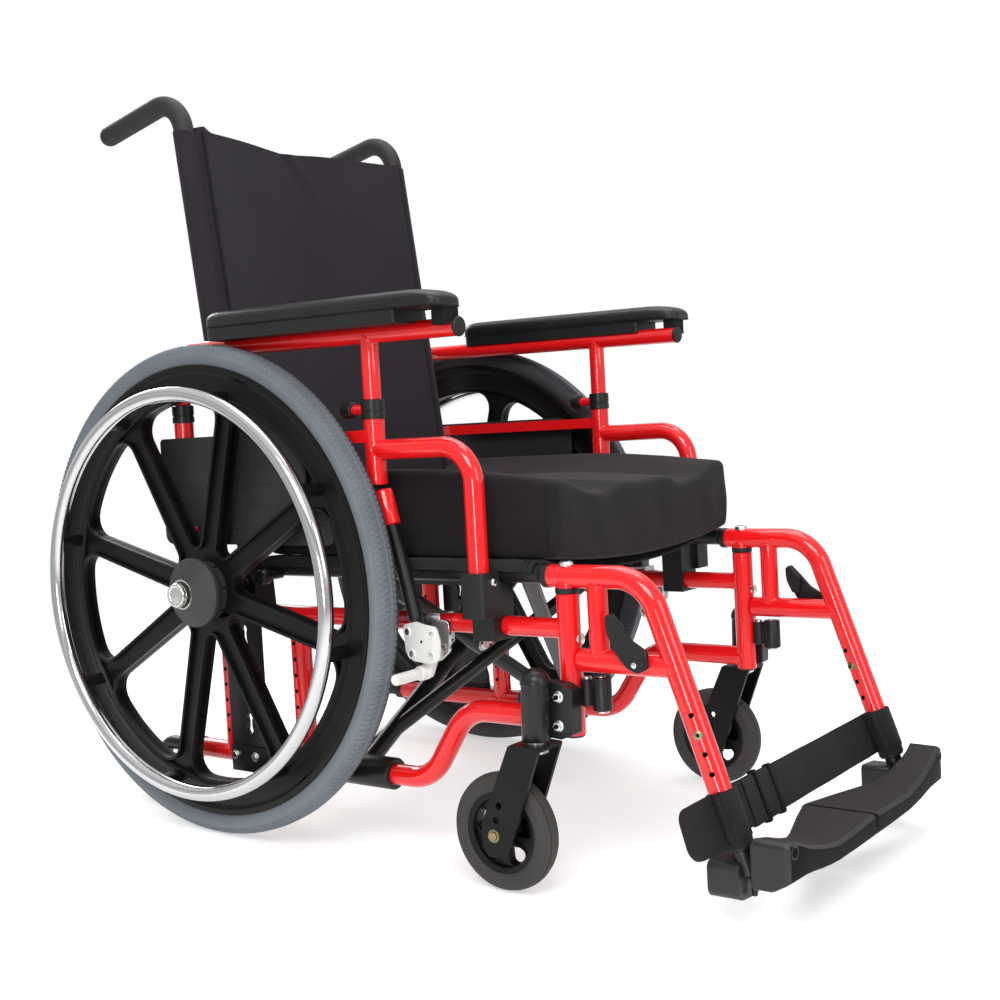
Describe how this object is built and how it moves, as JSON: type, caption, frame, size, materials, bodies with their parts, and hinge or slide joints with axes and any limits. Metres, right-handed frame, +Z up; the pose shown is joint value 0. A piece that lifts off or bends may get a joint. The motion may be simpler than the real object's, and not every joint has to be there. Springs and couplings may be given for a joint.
{
  "type": "folding wheelchair",
  "caption": "Folding manual wheelchair with spoked rear wheels, swivel casters, lift-off armrests, swing-away leg rests, flip-up footplates, contoured cushion and anti-tip wheels.",
  "frame": {"origin": "middle of the chair's footprint, on the ground", "axes": "-Y is the way the chair faces, +X the user's left, +Z up"},
  "size_m": [0.6646, 1.0614, 0.9403],
  "materials": {
    "frame_red": "gloss red paint",
    "black_cast": "satin black coat",
    "wheel_black": "satin moulded",
    "tyre_grey": "matt",
    "caster_rubber": "matt",
    "bright_metal": "polished",
    "black_plastic": "lightly textured",
    "pad_black": "leather grain",
    "cane_black": "satin black coat with a rubber grip",
    "alloy_grey": "cast, blasted",
    "cloth_black": "woven nylon",
    "webbing_black": "coarse webbing"
  },
  "bodies": {
    "frame_left": {"side_frame_left": "frame_red", "axle_plate_left": "black_cast", "caster_housing_left": "black_cast", "latch_receiver_left": "black_cast", "front_socket_left": "black_plastic", "rear_socket_left": "black_plastic", "back_cane_left": "cane_black", "lock_plate_left": "alloy_grey"},
    "rear_wheel_left": {"wheel_left": "wheel_black", "tyre_left": "tyre_grey", "handrim_left": "bright_metal"},
    "button_left": {"axle_button_left": "bright_metal"},
    "swivel_left": {"caster_fork_left": "black_cast"},
    "caster_left": {"caster_wheel_left": "wheel_black", "caster_tyre_left": "caster_rubber"},
    "leg_rest_left": {"hanger_left": "frame_red", "foot_bracket_left": "black_plastic"},
    "latch_left": {"latch_lever_left": "black_plastic"},
    "plate_left": {"footplate_left": "black_plastic"},
    "armrest_left": {"arm_lower_left": "frame_red", "side_panel_left": "black_plastic"},
    "arm_top_left": {"arm_upper_left": "frame_red", "arm_pad_left": "pad_black"},
    "lever_left": {"lock_lever_left": "black_cast"},
    "shoe_left": {"lock_shoe_left": "alloy_grey"},
    "anti_tipper_left": {"anti_tip_left": "black_cast"},
    "anti_wheel_left": {"anti_tip_wheel_left": "caster_rubber"},
    "frame_right": {"side_frame_right": "frame_red", "axle_plate_right": "black_cast", "caster_housing_right": "black_cast", "latch_receiver_right": "black_cast", "front_socket_right": "black_plastic", "rear_socket_right": "black_plastic", "back_cane_right": "cane_black", "lock_plate_right": "alloy_grey", "back_upholstery": "cloth_black"},
    "rear_wheel_right": {"wheel_right": "wheel_black", "tyre_right": "tyre_grey", "handrim_right": "bright_metal"},
    "button_right": {"axle_button_right": "bright_metal"},
    "swivel_right": {"caster_fork_right": "black_cast"},
    "caster_right": {"caster_wheel_right": "wheel_black", "caster_tyre_right": "caster_rubber"},
    "leg_rest_right": {"hanger_right": "frame_red", "foot_bracket_right": "black_plastic", "heel_strap": "webbing_black"},
    "latch_right": {"latch_lever_right": "black_plastic"},
    "plate_right": {"footplate_right": "black_plastic"},
    "armrest_right": {"arm_lower_right": "frame_red", "side_panel_right": "black_plastic"},
    "arm_top_right": {"arm_upper_right": "frame_red", "arm_pad_right": "pad_black"},
    "lever_right": {"lock_lever_right": "black_cast"},
    "shoe_right": {"lock_shoe_right": "alloy_grey"},
    "anti_tipper_right": {"anti_tip_right": "black_cast"},
    "anti_wheel_right": {"anti_tip_wheel_right": "caster_rubber"},
    "brace_a": {"cross_brace_a": "black_cast"},
    "brace_b": {"cross_brace_b": "black_cast", "seat_sling": "cloth_black", "seat_cushion": "cloth_black"}
  },
  "joints": [
    {"name": "fold", "type": "hinge", "parent": "frame_right", "child": "brace_a", "pos_m": [-0.206, 0.03945, 0.0883], "axis": [0, -0.9992, 0.0401], "range_deg": [0, 41], "deforming": ["seat_sling", "seat_cushion", "back_upholstery", "heel_strap"]},
    {"name": "brace_cross", "type": "hinge", "parent": "brace_a", "child": "brace_b", "pos_m": [0, 0.01941, 0.21221], "axis": [0, -0.9992, 0.0401], "range_deg": [-82, 0]},
    {"name": "left_frame_hinge", "type": "hinge", "parent": "brace_b", "child": "frame_left", "pos_m": [0.206, 0.03945, 0.0883], "axis": [0, -0.9992, 0.0401], "range_deg": [0, 41]},
    {"name": "wheel_roll_left", "type": "hinge", "parent": "frame_left", "child": "rear_wheel_left", "pos_m": [0.2763, 0.2258, 0.305], "axis": [1, 0, 0], "continuous": true},
    {"name": "button_push_left", "type": "slide", "parent": "frame_left", "child": "button_left", "axis": [-1, 0, 0], "range_m": [0, 0.003], "stiffness_N_per_m": 300},
    {"name": "caster_swivel_left", "type": "hinge", "parent": "frame_left", "child": "swivel_left", "pos_m": [0.244, -0.2477, 0.1715], "axis": [0, 0, 1], "continuous": true},
    {"name": "caster_roll_left", "type": "hinge", "parent": "swivel_left", "child": "caster_left", "pos_m": [0.244, -0.2054, 0.0653], "axis": [1, 0, 0], "continuous": true},
    {"name": "leg_rest_swing_left", "type": "hinge", "parent": "frame_left", "child": "leg_rest_left", "pos_m": [0.206, -0.265, 0.34473], "axis": [0, 0.0401, 0.9992], "range_deg": [0, 90], "deforming": ["heel_strap"]},
    {"name": "latch_press_left", "type": "hinge", "parent": "leg_rest_left", "child": "latch_left", "pos_m": [0.206, -0.35854, 0.25841], "axis": [1, 0, 0], "range_deg": [0, 20], "stiffness_Nm_per_rad": 0.4},
    {"name": "footplate_flip_left", "type": "hinge", "parent": "leg_rest_left", "child": "plate_left", "pos_m": [0.187, -0.47508, 0.04792], "axis": [0, 0.9992, -0.0401], "range_deg": [0, 90]},
    {"name": "armrest_lift_left", "type": "slide", "parent": "frame_left", "child": "armrest_left", "axis": [0, 0.0401, 0.9992], "range_m": [0, 0.1]},
    {"name": "arm_height_left", "type": "slide", "parent": "armrest_left", "child": "arm_top_left", "axis": [0, 0.0401, 0.9992], "range_m": [0, 0.06]},
    {"name": "lock_turn_left", "type": "hinge", "parent": "frame_left", "child": "lever_left", "pos_m": [0.2408, -0.09795, 0.26796], "axis": [1, 0, 0], "range_deg": [0, 30]},
    {"name": "shoe_turn_left", "type": "hinge", "parent": "frame_left", "child": "shoe_left", "pos_m": [0.2408, -0.11342, 0.25657], "axis": [1, 0, 0], "range_deg": [0, 42]},
    {"name": "anti_tip_turn_left", "type": "hinge", "parent": "frame_left", "child": "anti_tipper_left", "pos_m": [0.206, 0.33671, 0.07636], "axis": [0, 0.9992, -0.0401], "range_deg": [0, 180]},
    {"name": "anti_tip_roll_left", "type": "hinge", "parent": "anti_tipper_left", "child": "anti_wheel_left", "pos_m": [0.217, 0.41816, 0.03606], "axis": [1, 0, 0], "continuous": true},
    {"name": "wheel_roll_right", "type": "hinge", "parent": "frame_right", "child": "rear_wheel_right", "pos_m": [-0.2763, 0.2258, 0.305], "axis": [1, 0, 0], "continuous": true},
    {"name": "button_push_right", "type": "slide", "parent": "frame_right", "child": "button_right", "axis": [1, 0, 0], "range_m": [0, 0.003], "stiffness_N_per_m": 300},
    {"name": "caster_swivel_right", "type": "hinge", "parent": "frame_right", "child": "swivel_right", "pos_m": [-0.244, -0.2477, 0.1715], "axis": [0, 0, 1], "continuous": true},
    {"name": "caster_roll_right", "type": "hinge", "parent": "swivel_right", "child": "caster_right", "pos_m": [-0.244, -0.2054, 0.0653], "axis": [1, 0, 0], "continuous": true},
    {"name": "leg_rest_swing_right", "type": "hinge", "parent": "frame_right", "child": "leg_rest_right", "pos_m": [-0.206, -0.265, 0.34473], "axis": [0, -0.0401, -0.9992], "range_deg": [0, 90], "deforming": ["heel_strap"]},
    {"name": "latch_press_right", "type": "hinge", "parent": "leg_rest_right", "child": "latch_right", "pos_m": [-0.206, -0.35854, 0.25841], "axis": [1, 0, 0], "range_deg": [0, 20], "stiffness_Nm_per_rad": 0.4},
    {"name": "footplate_flip_right", "type": "hinge", "parent": "leg_rest_right", "child": "plate_right", "pos_m": [-0.187, -0.47508, 0.04792], "axis": [0, -0.9992, 0.0401], "range_deg": [0, 90]},
    {"name": "armrest_lift_right", "type": "slide", "parent": "frame_right", "child": "armrest_right", "axis": [0, 0.0401, 0.9992], "range_m": [0, 0.1]},
    {"name": "arm_height_right", "type": "slide", "parent": "armrest_right", "child": "arm_top_right", "axis": [0, 0.0401, 0.9992], "range_m": [0, 0.06]},
    {"name": "lock_turn_right", "type": "hinge", "parent": "frame_right", "child": "lever_right", "pos_m": [-0.2408, -0.09795, 0.26796], "axis": [1, 0, 0], "range_deg": [0, 30]},
    {"name": "shoe_turn_right", "type": "hinge", "parent": "frame_right", "child": "shoe_right", "pos_m": [-0.2408, -0.11342, 0.25657], "axis": [1, 0, 0], "range_deg": [0, 42]},
    {"name": "anti_tip_turn_right", "type": "hinge", "parent": "frame_right", "child": "anti_tipper_right", "pos_m": [-0.206, 0.33671, 0.07636], "axis": [0, -0.9992, 0.0401], "range_deg": [0, 180]},
    {"name": "anti_tip_roll_right", "type": "hinge", "parent": "anti_tipper_right", "child": "anti_wheel_right", "pos_m": [-0.217, 0.41816, 0.03606], "axis": [1, 0, 0], "continuous": true}
  ],
  "couplings": [
    {"joint": "brace_cross", "follows": "fold", "ratio": -2},
    {"joint": "left_frame_hinge", "follows": "fold", "ratio": 1},
    {"joint": "shoe_turn_left", "follows": "lock_turn_left", "ratio": 1.4},
    {"joint": "footplate_flip_left", "follows": "fold", "ratio": 2.195},
    {"joint": "shoe_turn_right", "follows": "lock_turn_right", "ratio": 1.4},
    {"joint": "footplate_flip_right", "follows": "fold", "ratio": 2.195}
  ]
}
